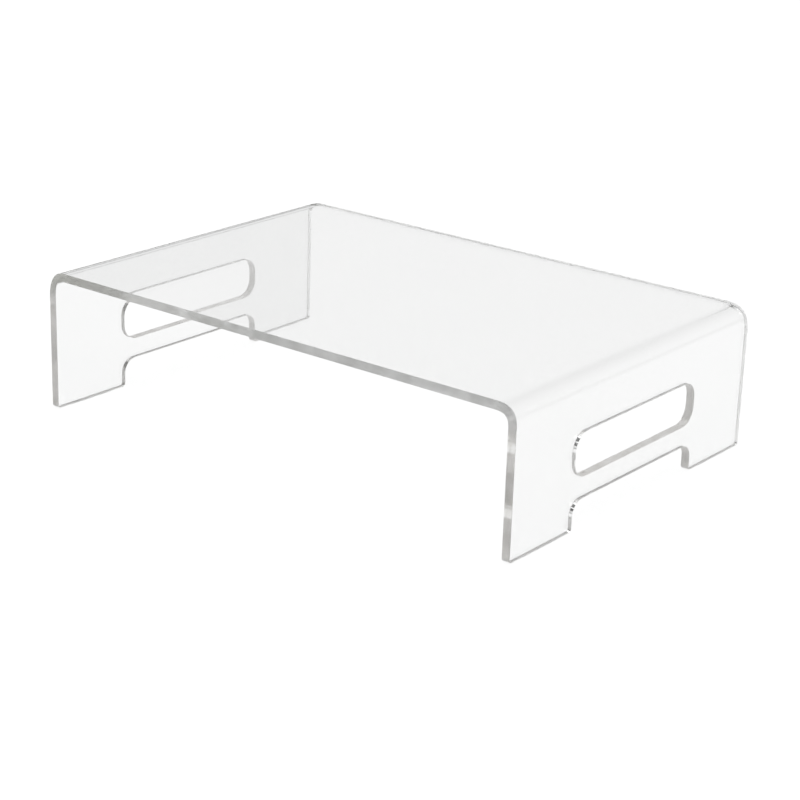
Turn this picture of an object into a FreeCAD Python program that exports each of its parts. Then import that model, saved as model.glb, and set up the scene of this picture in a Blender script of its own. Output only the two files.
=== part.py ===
import FreeCAD, Part
import math
import os

import Sketcher

# A monitor riser stand: one sheet of clear acrylic, heat-bent twice into a bridge, which
# stands on four thin clear anti-slip pads. Millimetres, +X right, +Y back, +Z up.
# The origin is on the desk, under the centre of the deck.

# Driving dimensions in millimetres: alias, value, meaning.
DIMENSIONS = [
    ("overall_width", 400.0, "outside of one leg to outside of the other"),
    ("overall_depth", 272.0, "front edge to back edge of the sheet"),
    ("overall_height", 101.6, "desk to the top of the deck"),
    ("sheet_thickness", 6.0, "thickness of the acrylic sheet"),
    ("bend_inner_radius", 7.5, "radius inside each heat bend"),
    ("slot_length", 140.0, "hand slot, front end to back end"),
    ("slot_height", 30.0, "hand slot, bottom edge to top edge"),
    ("slot_bottom_height", 35.0, "desk to the bottom edge of the hand slot"),
    ("slot_corner_radius", 12.0, "corners of the hand slot"),
    ("notch_length", 140.0, "cable notch, front foot to back foot"),
    ("notch_top_height", 20.0, "desk to the top edge of the cable notch"),
    ("notch_corner_radius", 10.0, "upper corners of the cable notch"),
    ("foot_corner_radius", 2.5, "lower corners of each foot"),
    ("pad_thickness", 0.5, "thickness of each anti-slip pad"),
    ("pad_end_radius", 2.5, "half the width of each anti-slip pad, across the leg"),
    ("pad_straight_length", 35.0, "length of each anti-slip pad between its round ends"),
]
SIZE = {alias: value for alias, value, _ in DIMENSIONS}

# Each pad's name, its side (+1 is right) and its end (+1 is back).
PADS = [
    ("anti_slip_pad_front_left", -1, -1),
    ("anti_slip_pad_front_right", 1, -1),
    ("anti_slip_pad_rear_left", -1, 1),
    ("anti_slip_pad_rear_right", 1, 1),
]

# Sketcher's numbers for a curve's two ends, its centre, and the sketch's own axes.
START, END, CENTRE = 1, 2, 3
ORIGIN_POINT = (-1, 1)
VERTICAL_AXIS = -2

QUARTER = math.pi / 2
LENGTH_TOLERANCE = 1e-4
VOLUME_TOLERANCE = 1.0


def fill_spreadsheet(doc):
    """Write each driving dimension into its own aliased cell."""
    sheet = doc.addObject("Spreadsheet::Sheet", "Sizes")
    for row, (alias, value, meaning) in enumerate(DIMENSIONS, start=1):
        sheet.set("A%d" % row, meaning)
        sheet.set("B%d" % row, str(value))
        sheet.setAlias("B%d" % row, alias)
    doc.recompute()


def add_body(doc, name):
    body = doc.addObject("PartDesign::Body", name)
    body.Label = name
    return body


def add_sketch(body, name, plane_role):
    """A sketch lying on one of the body's own origin planes."""
    sketch = body.newObject("Sketcher::SketchObject", name)
    plane = [item for item in body.Origin.OriginFeatures if item.Role == plane_role][0]
    sketch.AttachmentSupport = [(plane, "")]
    sketch.MapMode = "FlatFace"
    return sketch


def line(start, end):
    return Part.LineSegment(FreeCAD.Vector(*start), FreeCAD.Vector(*end))


def arc(centre, radius, first_quarter, quarters=1):
    """An anticlockwise arc that starts this many quarter turns past the sketch's x axis."""
    circle = Part.Circle(FreeCAD.Vector(*centre), FreeCAD.Vector(0, 0, 1), radius)
    return Part.ArcOfCircle(circle, first_quarter * QUARTER, (first_quarter + quarters) * QUARTER)


def constrain(sketch, kind, *elements):
    return sketch.addConstraint(Sketcher.Constraint(kind, *elements))


def drive(sketch, alias, kind, *elements):
    """Add a dimension and bind it to one cell of the spreadsheet."""
    index = constrain(sketch, kind, *elements, SIZE[alias])
    sketch.setExpression("Constraints[%d]" % index, "Sizes." + alias)


def join_ends(sketch, joints):
    """Join curve ends: each joint is (curve, end, curve, end, smooth)."""
    for curve_a, end_a, curve_b, end_b, smooth in joints:
        kind = "Tangent" if smooth else "Coincident"
        constrain(sketch, kind, curve_a, end_a, curve_b, end_b)


def draw_bridge_profile(sketch):
    """The sheet seen from the front: two legs, two bends and the deck."""
    half_width = SIZE["overall_width"] / 2
    top = SIZE["overall_height"]
    foot = SIZE["pad_thickness"]
    thickness = SIZE["sheet_thickness"]
    inner = SIZE["bend_inner_radius"]
    outer = inner + thickness
    middle_x = half_width - outer
    middle_z = top - outer
    leg_inside = half_width - thickness
    under_deck = top - thickness

    left_out, left_bend_out, deck_top, right_bend_out, right_out, right_foot = range(6)
    right_in, right_bend_in, deck_under, left_bend_in, left_in, left_foot = range(6, 12)
    sketch.addGeometry([
        line((-half_width, foot), (-half_width, middle_z)),
        arc((-middle_x, middle_z), outer, 1),
        line((-middle_x, top), (middle_x, top)),
        arc((middle_x, middle_z), outer, 0),
        line((half_width, middle_z), (half_width, foot)),
        line((half_width, foot), (leg_inside, foot)),
        line((leg_inside, foot), (leg_inside, middle_z)),
        arc((middle_x, middle_z), inner, 0),
        line((middle_x, under_deck), (-middle_x, under_deck)),
        arc((-middle_x, middle_z), inner, 1),
        line((-leg_inside, middle_z), (-leg_inside, foot)),
        line((-leg_inside, foot), (-half_width, foot)),
    ])
    join_ends(sketch, [
        (left_out, END, left_bend_out, END, True),
        (left_bend_out, START, deck_top, START, True),
        (deck_top, END, right_bend_out, END, True),
        (right_bend_out, START, right_out, START, True),
        (right_out, END, right_foot, START, False),
        (right_foot, END, right_in, START, False),
        (right_in, END, right_bend_in, START, True),
        (right_bend_in, END, deck_under, START, True),
        (deck_under, END, left_bend_in, START, True),
        (left_bend_in, END, left_in, START, True),
        (left_in, END, left_foot, START, False),
        (left_foot, END, left_out, START, False),
    ])
    constrain(sketch, "Coincident", left_bend_out, CENTRE, left_bend_in, CENTRE)
    constrain(sketch, "Coincident", right_bend_out, CENTRE, right_bend_in, CENTRE)
    constrain(sketch, "Equal", left_bend_in, right_bend_in)
    constrain(sketch, "Symmetric", left_out, START, right_out, END, VERTICAL_AXIS)
    for level in (left_foot, right_foot, deck_top, deck_under):
        constrain(sketch, "Horizontal", level)
    for upright in (left_out, left_in, right_in, right_out):
        constrain(sketch, "Vertical", upright)
    drive(sketch, "overall_width", "DistanceX", left_out, START, right_out, END)
    drive(sketch, "sheet_thickness", "DistanceX", left_out, START, left_in, END)
    drive(sketch, "bend_inner_radius", "Radius", left_bend_in)
    drive(sketch, "pad_thickness", "DistanceY", *ORIGIN_POINT, left_out, START)
    drive(sketch, "overall_height", "DistanceY", *ORIGIN_POINT, deck_top, START)


def draw_hand_slot(sketch):
    """A rectangle with round corners, seen from the side."""
    half_length = SIZE["slot_length"] / 2
    low = SIZE["slot_bottom_height"]
    high = low + SIZE["slot_height"]
    corner = SIZE["slot_corner_radius"]
    corner_y = half_length - corner
    bottom, bottom_front, front, top_front, top, top_back, back, bottom_back = range(8)
    sketch.addGeometry([
        line((corner_y, low), (-corner_y, low)),
        arc((-corner_y, low + corner), corner, 2),
        line((-half_length, low + corner), (-half_length, high - corner)),
        arc((-corner_y, high - corner), corner, 1),
        line((-corner_y, high), (corner_y, high)),
        arc((corner_y, high - corner), corner, 0),
        line((half_length, high - corner), (half_length, low + corner)),
        arc((corner_y, low + corner), corner, 3),
    ])
    join_ends(sketch, [
        (bottom, END, bottom_front, END, True),
        (bottom_front, START, front, START, True),
        (front, END, top_front, END, True),
        (top_front, START, top, START, True),
        (top, END, top_back, END, True),
        (top_back, START, back, START, True),
        (back, END, bottom_back, END, True),
        (bottom_back, START, bottom, START, True),
    ])
    for other in (top_front, top_back, bottom_back):
        constrain(sketch, "Equal", bottom_front, other)
    constrain(sketch, "Symmetric", top, START, top, END, VERTICAL_AXIS)
    constrain(sketch, "Horizontal", bottom)
    constrain(sketch, "Vertical", front)
    constrain(sketch, "Vertical", back)
    drive(sketch, "slot_corner_radius", "Radius", bottom_front)
    drive(sketch, "slot_length", "DistanceX", front, START, back, END)
    drive(sketch, "slot_height", "DistanceY", bottom, END, top, START)
    drive(sketch, "slot_bottom_height", "DistanceY", *ORIGIN_POINT, bottom, END)


def draw_notch(sketch):
    """The gap between the front and the back foot, open at the bottom, seen from the side."""
    half_length = SIZE["notch_length"] / 2
    foot = SIZE["pad_thickness"]
    top = SIZE["notch_top_height"]
    corner = SIZE["notch_corner_radius"]
    front, front_corner, roof, back_corner, back, mouth = range(6)
    sketch.addGeometry([
        line((-half_length, foot), (-half_length, top - corner)),
        arc((corner - half_length, top - corner), corner, 1),
        line((corner - half_length, top), (half_length - corner, top)),
        arc((half_length - corner, top - corner), corner, 0),
        line((half_length, top - corner), (half_length, foot)),
        line((half_length, foot), (-half_length, foot)),
    ])
    join_ends(sketch, [
        (front, END, front_corner, END, True),
        (front_corner, START, roof, START, True),
        (roof, END, back_corner, END, True),
        (back_corner, START, back, START, True),
        (back, END, mouth, START, False),
        (mouth, END, front, START, False),
    ])
    constrain(sketch, "Symmetric", front, START, back, END, VERTICAL_AXIS)
    constrain(sketch, "Equal", front_corner, back_corner)
    constrain(sketch, "Horizontal", roof)
    constrain(sketch, "Vertical", front)
    constrain(sketch, "Vertical", back)
    drive(sketch, "notch_corner_radius", "Radius", front_corner)
    drive(sketch, "notch_length", "DistanceX", front, START, back, END)
    drive(sketch, "pad_thickness", "DistanceY", *ORIGIN_POINT, front, START)
    drive(sketch, "notch_top_height", "DistanceY", *ORIGIN_POINT, roof, START)


def cut_through_both_legs(body, name, sketch):
    """Cut a side-view sketch to both sides, through both legs."""
    pocket = body.newObject("PartDesign::Pocket", name)
    pocket.Profile = sketch
    pocket.SideType = "Symmetric"
    pocket.Type = "ThroughAll"
    return pocket


def foot_corner_edges(shape):
    """The short edges across the sheet at the lower corners of the four feet."""
    names = []
    for number, edge in enumerate(shape.Edges, start=1):
        box = edge.BoundBox
        low = abs(box.ZMax - SIZE["pad_thickness"]) < LENGTH_TOLERANCE
        across = abs(box.XLength - SIZE["sheet_thickness"]) < LENGTH_TOLERANCE
        if low and across:
            names.append("Edge%d" % number)
    return names


def corner_loss(radius):
    """The area that rounding one square corner takes away."""
    return (1 - math.pi / 4) * radius ** 2


def check_cut(name, before, after, outline_area):
    """Stop unless a cut took its outline's area, times the sheet's thickness, from both legs."""
    removed = before.Shape.Volume - after.Shape.Volume
    expected = 2 * SIZE["sheet_thickness"] * outline_area
    if abs(removed - expected) > VOLUME_TOLERANCE:
        raise RuntimeError("%s took %.1f mm3, not %.1f" % (name, removed, expected))


def make_bent_sheet(doc):
    """The acrylic sheet: bridge profile, hand slots, cable notches, rounded foot corners."""
    body = add_body(doc, "bent_sheet")

    profile = add_sketch(body, "bridge_profile", "XZ_Plane")
    draw_bridge_profile(profile)
    bridge = body.newObject("PartDesign::Pad", "bridge")
    bridge.Profile = profile
    bridge.SideType = "Symmetric"
    bridge.setExpression("Length", "Sizes.overall_depth")

    slot_outline = add_sketch(body, "hand_slot_outline", "YZ_Plane")
    draw_hand_slot(slot_outline)
    hand_slots = cut_through_both_legs(body, "hand_slots", slot_outline)

    notch_outline = add_sketch(body, "cable_notch_outline", "YZ_Plane")
    draw_notch(notch_outline)
    cable_notches = cut_through_both_legs(body, "cable_notches", notch_outline)

    doc.recompute()
    corners = foot_corner_edges(cable_notches.Shape)
    rounding = body.newObject("PartDesign::Fillet", "foot_corners")
    rounding.Base = (cable_notches, corners)
    rounding.setExpression("Radius", "Sizes.foot_corner_radius")
    body.Tip = rounding
    doc.recompute()

    slot_area = SIZE["slot_length"] * SIZE["slot_height"] - 4 * corner_loss(SIZE["slot_corner_radius"])
    check_cut("hand slots", bridge, hand_slots, slot_area)
    notch_height = SIZE["notch_top_height"] - SIZE["pad_thickness"]
    notch_area = SIZE["notch_length"] * notch_height - 2 * corner_loss(SIZE["notch_corner_radius"])
    check_cut("cable notches", hand_slots, cable_notches, notch_area)
    return body


def draw_pad(sketch):
    """A strip with round ends, centred on the sketch's origin, long along its y axis."""
    radius = SIZE["pad_end_radius"]
    half_straight = SIZE["pad_straight_length"] / 2
    left, back_end, right, front_end = range(4)
    sketch.addGeometry([
        line((-radius, -half_straight), (-radius, half_straight)),
        arc((0, half_straight), radius, 0, 2),
        line((radius, half_straight), (radius, -half_straight)),
        arc((0, -half_straight), radius, 2, 2),
    ])
    join_ends(sketch, [
        (left, END, back_end, END, True),
        (back_end, START, right, START, True),
        (right, END, front_end, END, True),
        (front_end, START, left, START, True),
    ])
    constrain(sketch, "Symmetric", back_end, CENTRE, front_end, CENTRE, *ORIGIN_POINT)
    constrain(sketch, "Vertical", left)
    constrain(sketch, "Vertical", right)
    drive(sketch, "pad_end_radius", "Radius", back_end)
    drive(sketch, "pad_straight_length", "DistanceY", left, START, left, END)


def make_pad(doc, name, side, end):
    """One anti-slip pad, in the middle of a foot's underside."""
    body = add_body(doc, name)
    outline = add_sketch(body, name + "_outline", "XY_Plane")
    draw_pad(outline)
    strip = body.newObject("PartDesign::Pad", name + "_strip")
    strip.Profile = outline
    strip.setExpression("Length", "Sizes.pad_thickness")
    leg_middle = "(Sizes.overall_width - Sizes.sheet_thickness) / 2"
    foot_middle = "(Sizes.overall_depth + Sizes.notch_length) / 4"
    body.setExpression("Placement.Base.x", "%d * %s" % (side, leg_middle))
    body.setExpression("Placement.Base.y", "%d * %s" % (end, foot_middle))
    return body


def check_document(doc, bodies):
    """Stop on any failed object, loose sketch or bad solid."""
    for item in doc.Objects:
        if "Invalid" in item.State or "Error" in item.State:
            raise RuntimeError("%s failed: %s" % (item.Label, item.State))
        if item.TypeId == "Sketcher::SketchObject" and not item.FullyConstrained:
            raise RuntimeError("%s is not fully constrained" % item.Label)
    for body in bodies:
        shape = body.Shape
        if shape.isNull() or not shape.isValid() or len(shape.Solids) != 1:
            raise RuntimeError("%s is not one valid solid" % body.Label)


def write_parts(bodies):
    os.makedirs("parts", exist_ok=True)
    for body in bodies:
        body.Shape.exportStep(os.path.join("parts", body.Label + ".step"))
        print("%s %.1f mm3" % (body.Label, body.Shape.Volume))


def main():
    doc = FreeCAD.newDocument("monitor_riser_stand")
    fill_spreadsheet(doc)
    bodies = [make_bent_sheet(doc)]
    for name, side, end in PADS:
        bodies.append(make_pad(doc, name, side, end))
    doc.recompute()
    check_document(doc, bodies)
    write_parts(bodies)


main()
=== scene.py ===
import math

import bmesh
import bpy
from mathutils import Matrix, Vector
from mathutils.geometry import tessellate_polygon


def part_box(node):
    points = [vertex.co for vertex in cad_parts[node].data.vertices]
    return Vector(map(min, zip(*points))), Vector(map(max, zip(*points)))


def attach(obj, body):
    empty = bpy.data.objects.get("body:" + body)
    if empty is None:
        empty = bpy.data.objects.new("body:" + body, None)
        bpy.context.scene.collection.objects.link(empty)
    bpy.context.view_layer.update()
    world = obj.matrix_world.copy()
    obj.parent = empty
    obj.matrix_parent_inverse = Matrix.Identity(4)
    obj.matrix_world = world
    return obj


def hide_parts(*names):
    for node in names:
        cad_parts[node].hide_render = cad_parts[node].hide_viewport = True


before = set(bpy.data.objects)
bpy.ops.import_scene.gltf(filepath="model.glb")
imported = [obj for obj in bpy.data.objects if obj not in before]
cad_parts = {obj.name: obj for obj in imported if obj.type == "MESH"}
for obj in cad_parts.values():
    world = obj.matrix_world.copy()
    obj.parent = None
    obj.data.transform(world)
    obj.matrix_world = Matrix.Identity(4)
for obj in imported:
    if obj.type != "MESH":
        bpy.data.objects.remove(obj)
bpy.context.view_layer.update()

# The sheet's details, in metres. Its overall sizes come from the frame.
SHEET_THICKNESS = 0.006
SLOT_LENGTH, SLOT_HEIGHT, SLOT_BOTTOM, SLOT_CORNER = 0.140, 0.030, 0.035, 0.012
NOTCH_LENGTH, NOTCH_TOP, NOTCH_CORNER = 0.140, 0.020, 0.010
FOOT_CORNER = 0.0025

# Each heat bend turns the sheet gradually over this much of its length, tightest in the middle.
BEND_REACH = 0.028
# How far the stretched outside of a bend draws back from the front and back edges.
BEND_NECK = 0.0010
# The small radius where a cut edge meets a face.
ARRIS_RADIUS = 0.0003

# How finely curves are drawn.
BEND_STEPS = 48
CORNER_STEPS = 16
ARRIS_STEPS = 4

# How satin each cut surface is: the rear edge, the slightly duller front edge, the milled
# openings and feet, and the three corners of the right leg that came out almost clear.
REAR_EDGE = 0.45
FRONT_EDGE = 0.5
MILLED = 1.0
CLEAR_CORNER = 0.04
# How much of a corner's arc takes the corner's own satin share, from its start.
CLEAR_SHARE = 0.62

SHEET_LOW, SHEET_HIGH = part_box("bent_sheet")
HALF_DEPTH = SHEET_HIGH.y
MIDDLE_X = SHEET_HIGH.x - SHEET_THICKNESS / 2
MIDDLE_Z = SHEET_HIGH.z - SHEET_THICKNESS / 2


# ---------------------------------------------------------------- camera

CAMERA_AZIMUTH = 37.917
CAMERA_ELEVATION = 19.976
CAMERA_ROLL = 1.876
CAMERA_DISTANCE = 1.4676
CAMERA_TARGET = Vector((0.0067, 0.0, 0.0211))
CAMERA_LENS = 94.47
CAMERA_SENSOR = 36.0


def make_camera():
    """The camera stands in front, to the right and above, and leans a little."""
    azimuth = math.radians(CAMERA_AZIMUTH)
    elevation = math.radians(CAMERA_ELEVATION)
    roll = math.radians(CAMERA_ROLL)
    back = Vector((math.sin(azimuth) * math.cos(elevation),
                   -math.cos(azimuth) * math.cos(elevation),
                   math.sin(elevation)))
    data = bpy.data.cameras.new("camera")
    data.lens = CAMERA_LENS
    data.sensor_width = CAMERA_SENSOR
    camera = bpy.data.objects.new("camera", data)
    bpy.context.scene.collection.objects.link(camera)
    camera.location = CAMERA_TARGET + back * CAMERA_DISTANCE
    aim = (-back).to_track_quat("-Z", "Y").to_matrix()
    right, up = aim.col[0], aim.col[1]
    turned_right = right * math.cos(roll) + up * math.sin(roll)
    turned_up = up * math.cos(roll) - right * math.sin(roll)
    aim.col[0], aim.col[1] = turned_right, turned_up
    camera.rotation_mode = "QUATERNION"
    camera.rotation_quaternion = aim.to_quaternion()
    bpy.context.scene.camera = camera


# ---------------------------------------------------------------- the flat pattern
#
# The sheet is drawn flat first: u runs across it, from the left feet over the deck to the right
# feet, v runs from front to back, and depth is 0 on the inner face and the sheet's thickness on
# the outer face. bend() then carries a flat point round the two heat bends.

def bend_angle(share):
    """How far the sheet has turned, in radians, at this share of the way through a bend."""
    return math.pi / 2 * (share - math.sin(2 * math.pi * share) / (2 * math.pi))


def bend_path():
    """The middle of the sheet through the right-hand bend, as (run, drop) from its start."""
    length = BEND_REACH / BEND_STEPS
    run, drop = 0.0, 0.0
    path = [(run, drop)]
    for step in range(BEND_STEPS):
        angle = bend_angle((step + 0.5) / BEND_STEPS)
        run += length * math.cos(angle)
        drop += length * math.sin(angle)
        path.append((run, drop))
    return path


BEND_PATH = bend_path()
BEND_START = MIDDLE_X - BEND_PATH[-1][0]
LEG_START = BEND_START + BEND_REACH
LEG_TOP = MIDDLE_Z - BEND_PATH[-1][1]
LEG_END = LEG_START + LEG_TOP - SHEET_LOW.z


def middle(reach):
    """The middle of the sheet this far along it from the middle of the deck: x, z and turn."""
    if reach <= BEND_START:
        return reach, MIDDLE_Z, 0.0
    if reach >= LEG_START:
        return MIDDLE_X, LEG_TOP - (reach - LEG_START), math.pi / 2
    share = (reach - BEND_START) / BEND_REACH
    index = int(share * BEND_STEPS)
    part = share * BEND_STEPS - index
    (run, drop), (next_run, next_drop) = BEND_PATH[index:index + 2]
    return (BEND_START + run + part * (next_run - run),
            MIDDLE_Z - drop - part * (next_drop - drop),
            bend_angle(share))


def bend(u, v, depth):
    """The place in space of a point of the flat pattern."""
    x, z, angle = middle(abs(u))
    lift = depth - SHEET_THICKNESS / 2
    share = min(max((abs(u) - BEND_START) / BEND_REACH, 0.0), 1.0)
    neck = BEND_NECK * depth / SHEET_THICKNESS * math.sin(math.pi * share) ** 2
    return Vector((math.copysign(x + lift * math.sin(angle), u),
                   v * (1 - neck / HALF_DEPTH),
                   z + lift * math.cos(angle)))


# The short way to each side over which carried_normal() measures the bent sheet's directions.
NUDGE = 0.0001


def carried_normal(u, v, depth, normal):
    """A normal of the flat pattern, along u, v and depth, as it points after bending."""
    along_u = bend(u + NUDGE, v, depth) - bend(u - NUDGE, v, depth)
    along_v = bend(u, v + NUDGE, depth) - bend(u, v - NUDGE, depth)
    along_depth = bend(u, v, depth + NUDGE) - bend(u, v, depth - NUDGE)
    return (along_v.cross(along_depth) * normal[0]
            + along_depth.cross(along_u) * normal[1]
            + along_u.cross(along_v) * normal[2]).normalized()


def rounded_loop(corners):
    """A closed outline of (point, outward normal, satin), with the material on its left.

    Each corner is (u, v, radius, satin of the corner, satin of the run after it). A radius
    of 0 marks a plain point on a straight run.
    """
    points = []
    count = len(corners)
    for index, (u, v, radius, corner_satin, satin_after) in enumerate(corners):
        here = Vector((u, v))
        before = (here - Vector(corners[index - 1][:2])).normalized()
        after = (Vector(corners[(index + 1) % count][:2]) - here).normalized()
        satin_before = corners[index - 1][-1]
        normal_before = Vector((before.y, -before.x))
        if radius == 0:
            points.append((here, normal_before, satin_after))
            continue
        convex = before.cross(after) > 0
        turn = math.pi / 2 if convex else -math.pi / 2
        bulge = 1 if convex else -1
        centre = here - before * radius + after * radius
        for step in range(CORNER_STEPS + 1):
            angle = turn * step / CORNER_STEPS
            normal = Vector((normal_before.x * math.cos(angle) - normal_before.y * math.sin(angle),
                             normal_before.x * math.sin(angle) + normal_before.y * math.cos(angle)))
            if step == 0:
                satin = satin_before
            elif step > CLEAR_SHARE * CORNER_STEPS:
                satin = satin_after
            else:
                satin = corner_satin
            points.append((centre + normal * radius * bulge, normal, satin))
    return points


def bend_lines():
    """The u of every fold line that approximates the right-hand bend."""
    return [BEND_START + BEND_REACH * step / BEND_STEPS for step in range(BEND_STEPS + 1)]


def leg_end(side, corner_satin, next_edge):
    """The lower end of one leg: its two feet and the notch between them.

    The sheet's long edge that follows it is as satin as next_edge says.
    """
    half_notch = NOTCH_LENGTH / 2
    roof = LEG_END - (NOTCH_TOP - SHEET_LOW.z)
    corners = [
        (LEG_END, -HALF_DEPTH, FOOT_CORNER, MILLED, MILLED),
        (LEG_END, -half_notch, FOOT_CORNER, corner_satin, MILLED),
        (roof, -half_notch, NOTCH_CORNER, corner_satin, MILLED),
        (roof, half_notch, NOTCH_CORNER, MILLED, MILLED),
        (LEG_END, half_notch, FOOT_CORNER, MILLED, MILLED),
        (LEG_END, HALF_DEPTH, FOOT_CORNER, MILLED, next_edge),
    ]
    return [(side * u, side * v, *rest) for u, v, *rest in corners]


def sheet_outline():
    """The flat sheet's outside, anticlockwise from the left leg's top at the front."""
    front_run = sorted([-u for u in bend_lines()] + bend_lines())
    corners = [(u, -HALF_DEPTH, 0, FRONT_EDGE, FRONT_EDGE) for u in front_run]
    corners += leg_end(1, CLEAR_CORNER, REAR_EDGE)
    corners += [(u, HALF_DEPTH, 0, REAR_EDGE, REAR_EDGE) for u in reversed(front_run)]
    corners += leg_end(-1, MILLED, FRONT_EDGE)
    return rounded_loop(corners)


def slot_outline(side, corner_satin):
    """One hand slot, clockwise, so that the material is on its left."""
    low = side * (LEG_END - (SLOT_BOTTOM - SHEET_LOW.z))
    high = low - side * SLOT_HEIGHT
    left, right = min(low, high), max(low, high)
    half_length = SLOT_LENGTH / 2
    return rounded_loop([
        (left, -half_length, SLOT_CORNER, corner_satin, MILLED),
        (left, half_length, SLOT_CORNER, MILLED, MILLED),
        (right, half_length, SLOT_CORNER, MILLED, MILLED),
        (right, -half_length, SLOT_CORNER, MILLED, MILLED),
    ])


def edge_profile():
    """The cut edge's section, from the outer face to the inner: (inset, depth, out, up) each.

    out and up are the normal's parts along the outline's normal and along the depth.
    """
    quarter = [math.pi / 2 * step / ARRIS_STEPS for step in range(ARRIS_STEPS + 1)]
    section = []
    for angle in reversed(quarter):
        inset = ARRIS_RADIUS * (1 - math.cos(angle))
        depth = SHEET_THICKNESS - ARRIS_RADIUS * (1 - math.sin(angle))
        section.append((inset, depth, math.cos(angle), math.sin(angle)))
    for inset, depth, out, up in reversed(section):
        section.append((inset, SHEET_THICKNESS - depth, out, -up))
    return section


# ---------------------------------------------------------------- the bent sheet

# How far a normal's part along the outline's normal may be from 0 or 1 and still count as that.
FLAT_TOLERANCE = 1e-6


def arris_satin(out, satin):
    """The satin share over the edge's section: none on the faces, and matte on the arrises."""
    if out < FLAT_TOLERANCE:
        return 0.0
    if out < 1.0 - FLAT_TOLERANCE:
        return MILLED
    return satin


class SheetMesh:
    """Collects the bent sheet's vertices, their true normals and satin shares, and its faces."""

    def __init__(self):
        self.places = []
        self.normals = []
        self.flat = []
        self.satin = []
        self.faces = []

    def add_ring(self, loop):
        """Wrap the edge profile round one outline. Returns the outer and inner face borders."""
        section = edge_profile()
        first = len(self.places)
        for point, normal, satin in loop:
            for inset, depth, out, up in section:
                flat = point - normal * inset
                self.places.append(bend(flat.x, flat.y, depth))
                self.normals.append(carried_normal(flat.x, flat.y, depth,
                                                   (normal.x * out, normal.y * out, up)))
                self.flat.append(flat)
                self.satin.append(arris_satin(out, satin))
        width = len(section)
        for index in range(len(loop)):
            here = first + index * width
            there = first + (index + 1) % len(loop) * width
            for k in range(width - 1):
                self.faces.append((here + k, here + k + 1, there + k + 1, there + k))
        outer = [first + index * width for index in range(len(loop))]
        inner = [first + index * width + width - 1 for index in range(len(loop))]
        return outer, inner

    def fill(self, borders):
        """Close a flat region between borders, the first of which is its outside."""
        rings = [[self.flat[vertex].to_3d() for vertex in border] for border in borders]
        numbers = [vertex for border in borders for vertex in border]
        for triangle in tessellate_polygon(rings):
            self.faces.append(tuple(numbers[corner] for corner in triangle))

    def finish(self, name):
        """The mesh as an object, with outward faces, its true normals and its satin share."""
        mesh = bpy.data.meshes.new(name)
        mesh.from_pydata(self.places, [], self.faces)
        solid = bmesh.new()
        solid.from_mesh(mesh)
        # Only the legs' flat faces are triangles. This rids them of any with no area.
        triangles = [face for face in solid.faces if len(face.verts) == 3]
        inner_edges = [edge for edge in solid.edges
                       if all(len(face.verts) == 3 for face in edge.link_faces)]
        bmesh.ops.beautify_fill(solid, faces=triangles, edges=inner_edges)
        bmesh.ops.recalc_face_normals(solid, faces=solid.faces)
        solid.to_mesh(mesh)
        solid.free()
        mesh.shade_smooth()
        mesh.normals_split_custom_set_from_vertices(self.normals)
        mesh.attributes.new("satin", "FLOAT", "POINT").data.foreach_set("value", self.satin)
        sheet = bpy.data.objects.new(name, mesh)
        bpy.context.scene.collection.objects.link(sheet)
        return sheet


def make_sheet():
    """The bent acrylic sheet as one closed mesh, with exact normals for its refraction."""
    mesh = SheetMesh()
    outline = mesh.add_ring(sheet_outline())
    # The outline's first half is the front run and the right leg's end, and its second half,
    # with as many points, is the back run and the left leg's end.
    run = 2 * len(bend_lines())
    half = len(outline[0]) // 2
    slots = {-1: mesh.add_ring(slot_outline(-1, MILLED)),
             1: mesh.add_ring(slot_outline(1, CLEAR_CORNER))}
    for face in (0, 1):
        border = outline[face]
        front = border[:run]
        back = border[half:half + run][::-1]
        mesh.fill([border[run - 1:half + 1], slots[1][face]])
        mesh.fill([border[half + run - 1:] + border[:1], slots[-1][face]])
        for k in range(run - 1):
            mesh.faces.append((front[k], front[k + 1], back[k + 1], back[k]))
    return mesh.finish("clear_sheet")


# ---------------------------------------------------------------- the anti-slip pads

PAD_NODES = ["anti_slip_pad_front_left", "anti_slip_pad_front_right",
             "anti_slip_pad_rear_left", "anti_slip_pad_rear_right"]
# The gap keeps a pad's top and its foot from lying in one plane.
PAD_GAP = 0.00002
PAD_ROUNDING = 0.00015
PAD_END_STEPS = 12


def pad_ring(low, high, inset, height):
    """One level of a pad: a straight-sided outline with round ends, drawn in by inset."""
    radius = (high.x - low.x) / 2
    middle_x = (low.x + high.x) / 2
    ring = []
    for centre_y, first in ((high.y - radius, 0.0), (low.y + radius, math.pi)):
        for step in range(PAD_END_STEPS + 1):
            angle = first + math.pi * step / PAD_END_STEPS
            ring.append((middle_x + (radius - inset) * math.cos(angle),
                         centre_y + (radius - inset) * math.sin(angle), height))
    return ring


def make_pad(node):
    """A thin silicone strip with softened edges, just under its foot."""
    low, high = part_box(node)
    top = high.z - PAD_GAP
    levels = [(PAD_ROUNDING, low.z)]
    for step in range(1, ARRIS_STEPS + 1):
        angle = math.pi / 2 * step / ARRIS_STEPS
        levels.append((PAD_ROUNDING * (1 - math.sin(angle)),
                       low.z + PAD_ROUNDING * (1 - math.cos(angle))))
    levels += [(inset, top + low.z - height) for inset, height in reversed(levels)]
    rings = [pad_ring(low, high, inset, height) for inset, height in levels]
    count = len(rings[0])
    faces = [tuple(range(count))[::-1]]
    for level in range(len(rings) - 1):
        for k in range(count):
            after = (k + 1) % count
            faces.append((level * count + k, level * count + after,
                          (level + 1) * count + after, (level + 1) * count + k))
    faces.append(tuple((len(rings) - 1) * count + k for k in range(count)))
    mesh = bpy.data.meshes.new("silicone_" + node)
    mesh.from_pydata([place for ring in rings for place in ring], [], faces)
    pad = bpy.data.objects.new("silicone_" + node, mesh)
    bpy.context.scene.collection.objects.link(pad)
    mesh.shade_smooth()
    return pad


# ---------------------------------------------------------------- materials

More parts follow.
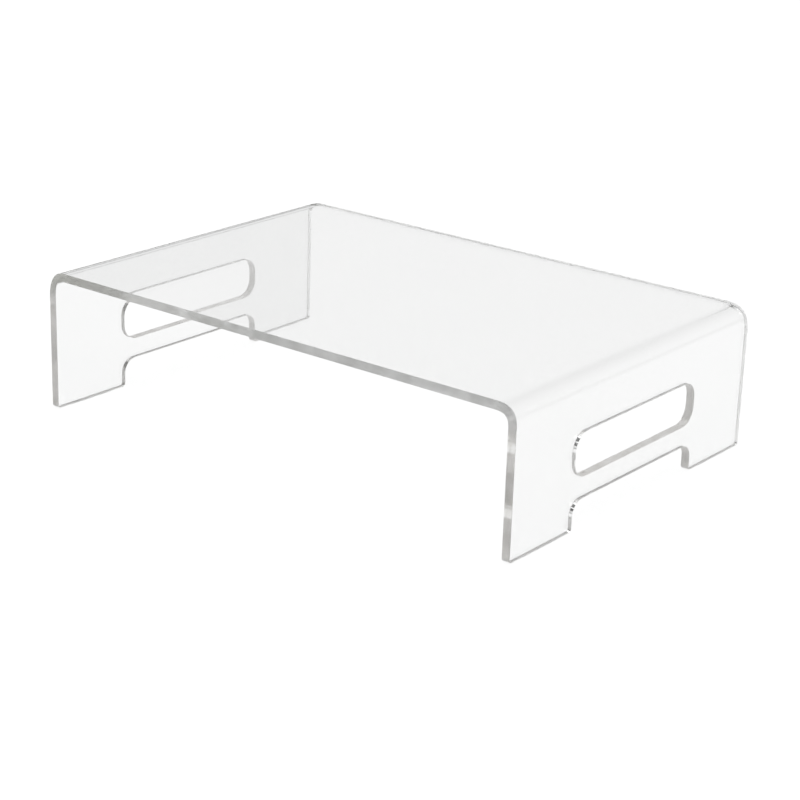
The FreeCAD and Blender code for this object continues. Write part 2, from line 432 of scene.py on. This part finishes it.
BLACK = (0.0, 0.0, 0.0)
WHITE = (1.0, 1.0, 1.0)

ACRYLIC_IOR = 1.49
# Light left after the haze of the two polished faces together, where it is thick and thin.
FACE_HAZY = (0.915, 0.917, 0.916)
FACE_CLEAR = (0.935, 0.937, 0.936)
# Cut edges: part clear and part milky grey in soft streaks, with a few bright nicks. They
# are painted lighter down the legs, which is painted light, and darker, greener and finely
# mottled at the deck's left end, which is painted shade.
EDGE_DARK = (0.60, 0.60, 0.59)
EDGE_LIGHT = (0.77, 0.77, 0.77)
# Painted light: the legs' cut edges are coloured lighter than the deck's.
LEG_PAINTED_LIGHT_EDGE_DARK = (0.73, 0.715, 0.69)
LEG_PAINTED_LIGHT_EDGE_LIGHT = (0.89, 0.875, 0.86)
# Painted shade: the cut edges at the deck's left end are coloured darker and greener.
EDGE_PAINTED_SHADE_DARK = (0.38, 0.39, 0.34)
EDGE_PAINTED_SHADE_LIGHT = (0.64, 0.64, 0.60)
PAINTED_SHADE_SHARE = 0.85
# From where to where, in x, the painted shade at the deck's left end fades out, and in z, the
# legs' painted light gives way to the deck.
PAINTED_SHADE_END = (-0.19, -0.09)
DECK_RISE = (0.080, 0.095)
NICK_COLOUR = (0.96, 0.96, 0.96)
# Each noise's scale and detail, and the part of its range that is stretched over 0 to 1.
CLOUDS = (14.0, 4.0)
MOTTLE = (420.0, 5.0)
MOTTLE_RANGE = (0.35, 0.65)
STREAKS = (90.0, 8.0)
STREAK_RANGE = (0.38, 0.62)
NICKS = (700.0, 1.0)
NICK_RANGE = (0.67, 0.71)
# Spots on the cut edges that are smoother, with this share of their satin left.
SMOOTH_SPOTS = (75.0, 1.0)
SMOOTH_SPOT_RANGE = (0.66, 0.72)
SMOOTH_SPOT_SATIN = 0.3
# The fully satin surfaces: brightness compared with the long edges, clarity and roughness.
MILLED_SHADE = 0.67
MILLED_CLARITY = 0.25
MILLED_ROUGHNESS = 0.2
ABSORPTION_COLOUR = (0.90, 0.903, 0.90)
ABSORPTION_DENSITY = 11.0


def add_node(tree, kind, **properties):
    """A new node with these properties set."""
    node = tree.nodes.new(kind)
    for name, value in properties.items():
        setattr(node, name, value)
    return node


def noise(tree, place, scale, detail):
    """Noise between 0 and 1, mostly near 0.5."""
    node = add_node(tree, "ShaderNodeTexNoise")
    node.inputs["Scale"].default_value = scale
    node.inputs["Detail"].default_value = detail
    tree.links.new(place, node.inputs["Vector"])
    return node.outputs["Fac"]


def mix_colour(tree, factor, low, high):
    """A mix of two colours, each a plain colour or another node's output."""
    node = add_node(tree, "ShaderNodeMix", data_type="RGBA")
    tree.links.new(factor, node.inputs["Factor"])
    # The node has an A, a B and a Result for each kind of data, so these go by number.
    for socket, colour in ((node.inputs[6], low), (node.inputs[7], high)):
        if isinstance(colour, tuple):
            socket.default_value = (*colour, 1.0)
        else:
            tree.links.new(colour, socket)
    return node.outputs[2]


def remap(tree, value, from_low, from_high, to_low, to_high):
    """The value moved from one range to another, and kept inside it."""
    node = add_node(tree, "ShaderNodeMapRange")
    for name, number in (("From Min", from_low), ("From Max", from_high),
                         ("To Min", to_low), ("To Max", to_high)):
        node.inputs[name].default_value = number
    tree.links.new(value, node.inputs["Value"])
    return node.outputs["Result"]


def multiply(tree, one, other):
    """The product of two values."""
    node = add_node(tree, "ShaderNodeMath", operation="MULTIPLY")
    tree.links.new(one, node.inputs[0])
    tree.links.new(other, node.inputs[1])
    return node.outputs["Value"]


def edge_colours(tree, place, satin):
    """The colour of the cut edges, before their clarity is taken into account: painted light
    makes the legs' edges lighter, and painted shade darkens the deck's left end.
    """
    mottle = remap(tree, noise(tree, place, *MOTTLE), *MOTTLE_RANGE, 0.0, 1.0)
    streak = remap(tree, noise(tree, place, *STREAKS), *STREAK_RANGE, 0.0, 1.0)
    nick = remap(tree, noise(tree, place, *NICKS), *NICK_RANGE, 0.0, 1.0)
    split = add_node(tree, "ShaderNodeSeparateXYZ")
    tree.links.new(place, split.inputs[0])
    deck = remap(tree, split.outputs["Z"], *DECK_RISE, 0.0, 1.0)
    # Painted shade on the cut edges at the deck's left end, only up on the deck.
    painted_shade_left_end = remap(tree, split.outputs["X"], *PAINTED_SHADE_END, PAINTED_SHADE_SHARE, 0.0)
    milled = remap(tree, satin, FRONT_EDGE, MILLED, 0.0, 1.0 - MILLED_SHADE)

    # Painted light: a lighter copy of the edge colour for the legs, fading into the deck's up
    # DECK_RISE.
    leg_painted_light_colour = mix_colour(tree, streak, LEG_PAINTED_LIGHT_EDGE_DARK, LEG_PAINTED_LIGHT_EDGE_LIGHT)
    deck_colour = mix_colour(tree, streak, EDGE_DARK, EDGE_LIGHT)
    painted_shade_colour = mix_colour(tree, mottle, EDGE_PAINTED_SHADE_DARK, EDGE_PAINTED_SHADE_LIGHT)
    colour = mix_colour(tree, deck, leg_painted_light_colour, deck_colour)
    colour = mix_colour(tree, multiply(tree, painted_shade_left_end, deck), colour, painted_shade_colour)
    colour = mix_colour(tree, nick, colour, NICK_COLOUR)
    return mix_colour(tree, milled, colour, BLACK)


def acrylic():
    """Clear acrylic: polished faces with a breath of haze, and satin, mottled cut edges."""
    material = bpy.data.materials.new("clear_acrylic")
    material.use_nodes = True
    tree = material.node_tree
    links = tree.links
    shader = tree.nodes["Principled BSDF"]
    shader.inputs["IOR"].default_value = ACRYLIC_IOR

    satin = add_node(tree, "ShaderNodeAttribute", attribute_name="satin").outputs["Fac"]
    place = add_node(tree, "ShaderNodeTexCoord").outputs["Object"]
    face_colour = mix_colour(tree, noise(tree, place, *CLOUDS), FACE_HAZY, FACE_CLEAR)
    edge_colour = edge_colours(tree, place, satin)
    smooth_spot = remap(tree, noise(tree, place, *SMOOTH_SPOTS), *SMOOTH_SPOT_RANGE,
                        1.0, SMOOTH_SPOT_SATIN)
    satin = multiply(tree, satin, smooth_spot)
    cut = remap(tree, satin, 0.0, FRONT_EDGE, 0.0, 1.0)
    clarity = remap(tree, satin, 0.0, MILLED, 1.0, MILLED_CLARITY)
    roughness = remap(tree, satin, 0.0, MILLED, 0.0, MILLED_ROUGHNESS)
    links.new(mix_colour(tree, cut, face_colour, edge_colour), shader.inputs["Base Color"])
    links.new(roughness, shader.inputs["Roughness"])
    links.new(clarity, shader.inputs["Transmission Weight"])

    absorb = add_node(tree, "ShaderNodeVolumeAbsorption")
    absorb.inputs["Color"].default_value = (*ABSORPTION_COLOUR, 1.0)
    absorb.inputs["Density"].default_value = ABSORPTION_DENSITY
    links.new(absorb.outputs["Volume"], tree.nodes["Material Output"].inputs["Volume"])
    return material


SILICONE_IOR = 1.41
SILICONE_CLARITY = 0.75
SILICONE_CLOUDS = (300.0, 3.0)
SILICONE_CLOUD_RANGE = (0.3, 0.7)
SILICONE_HAZY = (0.84, 0.85, 0.85)
SILICONE_CLEAR = (0.95, 0.96, 0.96)
SILICONE_ROUGHNESS = (0.3, 0.45)


def silicone():
    """Clear silicone, slightly cloudy."""
    material = bpy.data.materials.new("clear_silicone")
    material.use_nodes = True
    tree = material.node_tree
    shader = tree.nodes["Principled BSDF"]
    shader.inputs["IOR"].default_value = SILICONE_IOR
    shader.inputs["Transmission Weight"].default_value = SILICONE_CLARITY
    place = add_node(tree, "ShaderNodeTexCoord").outputs["Object"]
    cloud = noise(tree, place, *SILICONE_CLOUDS)
    roughness = remap(tree, cloud, *SILICONE_CLOUD_RANGE, *SILICONE_ROUGHNESS)
    tree.links.new(mix_colour(tree, cloud, SILICONE_HAZY, SILICONE_CLEAR),
                   shader.inputs["Base Color"])
    tree.links.new(roughness, shader.inputs["Roughness"])
    return material


FLOOR_ALBEDO = 0.08
FLOOR_GLOW = 0.91
FLOOR_ROUGHNESS = 0.9


def floor_material():
    """A white light table: it both reflects and glows, so shadows on it are bleached out."""
    material = bpy.data.materials.new("floor_white")
    material.use_nodes = True
    shader = material.node_tree.nodes["Principled BSDF"]
    shader.inputs["Base Color"].default_value = (FLOOR_ALBEDO, FLOOR_ALBEDO, FLOOR_ALBEDO, 1.0)
    shader.inputs["Roughness"].default_value = FLOOR_ROUGHNESS
    shader.inputs["Specular IOR Level"].default_value = 0.0
    shader.inputs["Emission Color"].default_value = (*WHITE, 1.0)
    shader.inputs["Emission Strength"].default_value = FLOOR_GLOW
    return material


# ---------------------------------------------------------------- stage

# The floor is a disc just below the pads, so that they don't lie in one plane with it.
FLOOR_DROP = 0.0001
FLOOR_RADIUS = 12.0
FLOOR_SIDES = 64


def make_floor():
    """A round white floor, wider than any view of it."""
    mesh = bpy.data.meshes.new("floor")
    ring = []
    for side in range(FLOOR_SIDES):
        angle = 2 * math.pi * side / FLOOR_SIDES
        ring.append((FLOOR_RADIUS * math.cos(angle), FLOOR_RADIUS * math.sin(angle), -FLOOR_DROP))
    mesh.from_pydata(ring, [], [tuple(range(FLOOR_SIDES))])
    floor = bpy.data.objects.new("floor", mesh)
    bpy.context.scene.collection.objects.link(floor)
    floor.data.materials.append(floor_material())


# Brightness of the studio round the object: (sine of the elevation, level).
SKY = [(0.0, 0.5), (0.13, 0.5), (0.16, 0.85), (0.36, 0.85), (0.46, 0.76), (0.60, 0.62),
       (0.72, 0.55), (0.82, 2.95), (1.0, 2.95)]

# Unlit cards: (direction, where the full dark ends and where it stops, in degrees). One is
# high up to the left of the camera, and one stands far behind the object on the left.
CARDS = [(Vector((-0.5, -0.58, 0.64)).normalized(), (22.0, 27.0)),
         (Vector((-0.70, 0.69, -0.02)).normalized(), (8.5, 9.5))]
# A small lamp in front of the high card, with its radii in degrees as well.
LAMP = Vector((-0.5, -0.63, 0.595)).normalized()
LAMP_RADII = (1.0, 1.8)
LAMP_LEVEL = 3.0
# How bright the studio is when the camera sees it directly.
BACKDROP_LEVEL = 1.03


def patch(tree, place, centre, radii, inside, outside):
    """A soft-edged disc in the sky: one value inside it and another outside."""
    facing = add_node(tree, "ShaderNodeVectorMath", operation="DOT_PRODUCT")
    facing.inputs[1].default_value = centre
    tree.links.new(place, facing.inputs[0])
    inner, outer = (math.cos(math.radians(radius)) for radius in radii)
    return remap(tree, facing.outputs["Value"], outer, inner, outside, inside)


def make_sky():
    """A soft dome with the cards and the lamp, which the camera itself sees as plain white."""
    world = bpy.data.worlds.new("studio")
    bpy.context.scene.world = world
    world.use_nodes = True
    tree = world.node_tree
    links = tree.links
    place = add_node(tree, "ShaderNodeTexCoord").outputs["Generated"]
    split = add_node(tree, "ShaderNodeSeparateXYZ")
    ramp = add_node(tree, "ShaderNodeValToRGB")
    links.new(place, split.inputs[0])
    links.new(split.outputs["Z"], ramp.inputs[0])
    elements = ramp.color_ramp.elements
    while len(elements) < len(SKY):
        elements.new(0.5)
    top = max(level for _, level in SKY)
    for element, (position, level) in zip(elements, SKY):
        element.position = position
        element.color = (level / top, level / top, level / top, 1.0)
    level = ramp.outputs["Color"]
    for direction, radii in CARDS:
        level = multiply(tree, level, patch(tree, place, direction, radii, 0.0, 1.0))
    brightness = add_node(tree, "ShaderNodeMath", operation="MULTIPLY_ADD")
    brightness.inputs[1].default_value = top
    links.new(level, brightness.inputs[0])
    links.new(patch(tree, place, LAMP, LAMP_RADII, LAMP_LEVEL, 0.0), brightness.inputs[2])
    # Seen directly the studio is as white as the floor, with no horizon line. The node's
    # sockets 0, 2 and 3 are the factor and its two plain numbers.
    seen = add_node(tree, "ShaderNodeMix", data_type="FLOAT")
    links.new(add_node(tree, "ShaderNodeLightPath").outputs["Is Camera Ray"], seen.inputs[0])
    links.new(brightness.outputs["Value"], seen.inputs[2])
    seen.inputs[3].default_value = BACKDROP_LEVEL
    light = tree.nodes["Background"]
    light.inputs["Color"].default_value = (*WHITE, 1.0)
    links.new(seen.outputs[0], light.inputs["Strength"])


SHEET_BOUNCES = 256
DIFFUSE_BOUNCES = 4


def set_light_paths():
    """Enough bounces for light that runs along inside the sheet, and plain, clean tones."""
    scene = bpy.context.scene
    scene.view_settings.view_transform = "Standard"
    scene.cycles.use_denoising = True
    scene.cycles.denoising_input_passes = "RGB"
    scene.cycles.max_bounces = SHEET_BOUNCES
    scene.cycles.transmission_bounces = SHEET_BOUNCES
    scene.cycles.glossy_bounces = SHEET_BOUNCES
    scene.cycles.diffuse_bounces = DIFFUSE_BOUNCES
    scene.cycles.blur_glossy = 0.0


make_camera()
make_floor()
make_sky()
set_light_paths()

sheet = make_sheet()
sheet.data.materials.append(acrylic())
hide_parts("bent_sheet")
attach(sheet, "root")

pad_material = silicone()
for node in PAD_NODES:
    pad = make_pad(node)
    pad.data.materials.append(pad_material)
    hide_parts(node)
    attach(pad, "root")
